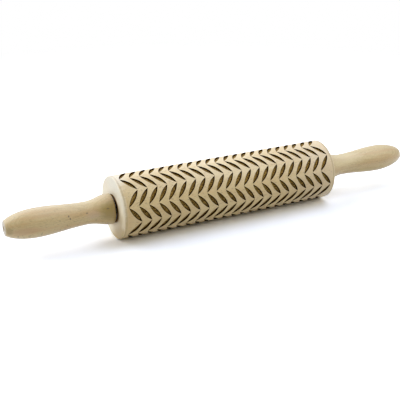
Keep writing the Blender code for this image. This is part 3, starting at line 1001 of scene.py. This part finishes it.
steelSpec = {
    "steels": {  # name: (colour, roughness, how strongly it is brushed)
        "polishedSteel": (linearColour(205, 206, 208), 0.18, 0.15),
        # dark brown steel as painted shade: the outer rings, shields and spacers sit in the gap behind each
        # handle
        "shadeSteel": (linearColour(84, 70, 48), 0.4, 0.25),
        "pressedSteel": (linearColour(165, 166, 168), 0.32, 0.35),
    },
    "lineScale": 9000.0,
    "lineDepth": 0.02 * mm,
    "smudgeScale": (500.0, 500.0, 500.0),
    "smudgeDark": 0.45,
    "smudgeShare": 0.35,
    "smudgeRoughness": 0.2,
}


def makeSteel(name, spec):
    # turned or pressed steel, with fine lines round the axle and faint smudges
    colour, roughness, brushed = spec["steels"][name]
    material, bench, shader = startMaterial(name)
    place = bench.place()
    x, y, z = bench.split(place)
    linePlace = bench.join(
        bench.times(x, spec["lineScale"]), bench.times(bench.fromAxle(y, z), spec["lineScale"]), 0.0
    )
    smudge = bench.noise(bench.scaled(place, spec["smudgeScale"]), detail=4.0)
    deep = [level * spec["smudgeDark"] for level in colour[:3]] + [1.0]
    bench.fill(shader, {
        "Base Color": bench.tint(colour, deep, smudge, spec["smudgeShare"]),
        "Metallic": 1.0,
        "Roughness": bench.math("MULTIPLY_ADD", smudge, spec["smudgeRoughness"], roughness),
        "Normal": bench.bump(bench.noise(linePlace, detail=2.0), brushed, spec["lineDepth"]),
    })
    return material


polishedSteel, shadeSteel, pressedSteel = [makeSteel(name, steelSpec) for name in steelSpec["steels"]]


# Axle and spacers

axleSpec = {
    "rodRadius": 4.0 * mm,
    "rodHalfLength": 177.0 * mm,
    "rodChamfer": 0.6 * mm,
    "rodBend": (0.3, 0.6),  # a point on that chamfer: how far back and in, in chamfers
    "grooveAt": 8.0 * mm,  # back from the rod's end
    "grooveWidth": 1.5 * mm,
    "grooveDepth": 0.4 * mm,
    "grooveSlope": 0.15 * mm,
    "rodSides": 64,
    "spacerEnds": (114.3 * mm, 116.7 * mm),
    "spacerRadii": (4.3 * mm, 6.0 * mm),
    "spacerChamfer": 0.2 * mm,
    "spacerSides": 72,
}


def makeRod(spec, material):
    # the right half's profile, and its mirror for the left half
    end, radius, cut = spec["rodHalfLength"], spec["rodRadius"], spec["rodChamfer"]
    back, inwards = spec["rodBend"]
    grooveStart = end - spec["grooveAt"]
    grooveEnd, floor = grooveStart + spec["grooveWidth"], radius - spec["grooveDepth"]
    right = [
        (grooveStart, radius), (grooveStart + spec["grooveSlope"], floor),
        (grooveEnd - spec["grooveSlope"], floor), (grooveEnd, radius),
        (end - cut, radius), (end - cut * back, radius - cut * inwards), (end, radius - cut), (end, 0.0),
    ]
    left = [(-x, at) for x, at in reversed(right)]
    shape = bmesh.new()
    turnProfile(shape, left + right, spec["rodSides"])
    addPiece("axleRod", shape, "axle", "axle_rod", [material])


def makeSpacers(spec, material):
    start, end = spec["spacerEnds"]
    inner, outer = spec["spacerRadii"]
    cut = spec["spacerChamfer"]
    profile = [
        (start, inner + cut), (start, outer - cut), (start + cut, outer), (end - cut, outer),
        (end, outer - cut), (end, inner + cut), (end - cut, inner), (start + cut, inner),
    ]
    turnBothEnds("spacerRing", profile, spec["spacerSides"], "axle", "spacer_{}", material)


makeRod(axleSpec, polishedSteel)
makeSpacers(axleSpec, shadeSteel)
print("axle made")


# Ball bearings

bearingSpec = {
    "middle": 110.5 * mm,
    "halfWidth": 3.5 * mm,
    "boreRadius": 4.3 * mm,
    "boreChamfer": 0.25 * mm,
    "outerRadius": 11.0 * mm,
    "outerChamfer": 0.3 * mm,
    "innerShoulder": 6.015 * mm,
    "outerShoulder": 8.985 * mm,
    "shoulderChamfer": 0.15 * mm,
    "grooveClearance": 0.28 * mm,
    "grooveDepth": 0.78 * mm,
    "grooveSteps": 14,
    "stepAt": 2.65 * mm,  # the step that takes the shield, from the bearing's middle
    "stepRadius": 9.635 * mm,
    "stepChamfer": 0.1 * mm,
    "shield": [  # a pressed cup, in mm from the bearing's middle: rolled rim, flat band and dished lip
        (2.95, 9.33), (3.2, 9.33), (3.3, 9.2), (3.3, 8.9), (3.2, 8.7), (3.2, 6.9),
        (3.3, 6.7), (3.3, 6.33), (3.1, 6.33), (2.95, 6.75), (2.95, 8.8),
    ],
    "ringSides": 72,
    "balls": 7,
    "ballRadius": 1.985 * mm,
    "ballCircle": 7.5 * mm,
    "ballDetail": 4,
}
cageSpec = {
    "stepsPerBall": 24,
    "thickness": 0.3 * mm,
    "halfBand": 0.78 * mm,
    "ballClearance": 0.18 * mm,
    "halfSeam": 0.04 * mm,
    "rivetRadius": 0.32 * mm,
    "rivetDetail": (12, 8),
}


def raceGroove(spec, shoulder, facing):
    # from the shoulder nearer the barrel's middle to the outer one
    grooveRadius = spec["ballRadius"] + spec["grooveClearance"]
    toChord = grooveRadius - spec["grooveDepth"]
    halfAngle = math.acos(toChord / grooveRadius)
    points = []
    for step in range(spec["grooveSteps"] + 1):
        angle = halfAngle * (2 * step / spec["grooveSteps"] - 1)
        sunk = grooveRadius * math.cos(angle) - toChord
        points.append((spec["middle"] + grooveRadius * math.sin(angle), shoulder - facing * sunk))
    return points


def raceSide(spec, plain, cut, shoulder, facing):
    # a ring's plain surface, its inner side and its race; facing is 1 where the race looks outwards
    start, end = spec["middle"] - spec["halfWidth"], spec["middle"] + spec["halfWidth"]
    edge = spec["shoulderChamfer"]
    return [
        (end - cut, plain), (start + cut, plain), (start, plain + facing * cut),
        (start, shoulder - facing * edge), (start + edge, shoulder),
        *raceGroove(spec, shoulder, facing),
    ]


def makeRings(spec, polished, shadeSteelMaterial):
    end, sides = spec["middle"] + spec["halfWidth"], spec["ringSides"]
    bore, boreCut = spec["boreRadius"], spec["boreChamfer"]
    shoulder, edge = spec["innerShoulder"], spec["shoulderChamfer"]
    inner = raceSide(spec, bore, boreCut, shoulder, 1)
    inner += [(end - edge, shoulder), (end, shoulder - edge), (end, bore + boreCut)]
    turnBothEnds("innerRing", inner, sides, "axle", "bearing_{}_inner_ring", polished)

    rim, rimCut, shoulder = spec["outerRadius"], spec["outerChamfer"], spec["outerShoulder"]
    stepAt, stepRadius, stepCut = spec["middle"] + spec["stepAt"], spec["stepRadius"], spec["stepChamfer"]
    outer = raceSide(spec, rim, rimCut, shoulder, -1)
    outer += [(stepAt, shoulder), (stepAt, stepRadius), (end - stepCut, stepRadius)]
    outer += [(end, stepRadius + stepCut), (end, rim - rimCut)]
    turnBothEnds("outerRing", outer, sides, "barrel", "bearing_{}_outer_ring", shadeSteelMaterial)

    shield = [(spec["middle"] + x * mm, radius * mm) for x, radius in spec["shield"]]
    turnBothEnds("dustShield", shield, sides, "barrel", "bearing_{}_shield", shadeSteelMaterial)


def pressRibbon(shape, bearing, cage, middle, towards):
    # one side of a cage, lapped round the balls; towards is 1 for the side nearer the right end
    balls, circle, band = bearing["balls"], bearing["ballCircle"], cage["halfBand"]
    pocket, seam = bearing["ballRadius"] + cage["ballClearance"], cage["halfSeam"]
    steps = balls * cage["stepsPerBall"]
    sections = []
    for step in range(steps):
        angle = 2 * math.pi * step / steps
        nearest = round(angle * balls / (2 * math.pi)) * 2 * math.pi / balls
        across = 2 * circle * math.sin(abs(angle - nearest) / 2)
        inside, outside = [
            max(math.sqrt(max((pocket + skin) ** 2 - across ** 2, 0.0)), seam + skin)
            for skin in (0.0, cage["thickness"])
        ]
        corners = ((inside, -band), (inside, band), (outside, band), (outside, -band))
        sections.append([
            shape.verts.new(pinPoint(middle + towards * depth, circle + rise, angle))
            for depth, rise in corners
        ])
    for near, far in zip(sections, sections[1:] + sections[:1]):
        for corner in range(4):
            beside = (corner + 1) % 4
            shape.faces.new((near[corner], near[beside], far[beside], far[corner]))


def addRivets(shape, bearing, cage, middle):
    # between each two balls, a rivet's head on either side
    around, up = cage["rivetDetail"]
    for gap in range(bearing["balls"]):
        angle = 2 * math.pi * (gap + 0.5) / bearing["balls"]
        for towards in (-1, 1):
            x = middle + towards * (cage["halfSeam"] + cage["thickness"])
            place = Matrix.Translation(pinPoint(x, bearing["ballCircle"], angle))
            bmesh.ops.create_uvsphere(
                shape, u_segments=around, v_segments=up, radius=cage["rivetRadius"], matrix=place
            )


def makeCages(bearing, cage, material):
    for end, outwards in pinEnds.items():
        shape = bmesh.new()
        middle = outwards * bearing["middle"]
        for towards in (-1, 1):
            pressRibbon(shape, bearing, cage, middle, towards)
        addRivets(shape, bearing, cage, middle)
        node = f"bearing_{end}_cage"
        addPiece(f"ribbonCage_{end}", shape, f"cage_{end}", node, [material], sharpFrom=40)


def makeBalls(spec, material):
    for end, outwards in pinEnds.items():
        for number in range(spec["balls"]):
            angle = 2 * math.pi * number / spec["balls"]
            place = Matrix.Translation(pinPoint(outwards * spec["middle"], spec["ballCircle"], angle))
            shape = bmesh.new()
            bmesh.ops.create_icosphere(
                shape, subdivisions=spec["ballDetail"], radius=spec["ballRadius"], matrix=place
            )
            name, node = f"ball_{end}_{number + 1}", f"bearing_{end}_ball_{number + 1}"
            addPiece(name, shape, f"cage_{end}", node, [material], sharpFrom=180)


makeRings(bearingSpec, polishedSteel, shadeSteel)
makeCages(bearingSpec, cageSpec, pressedSteel)
makeBalls(bearingSpec, polishedSteel)
print("bearings made")
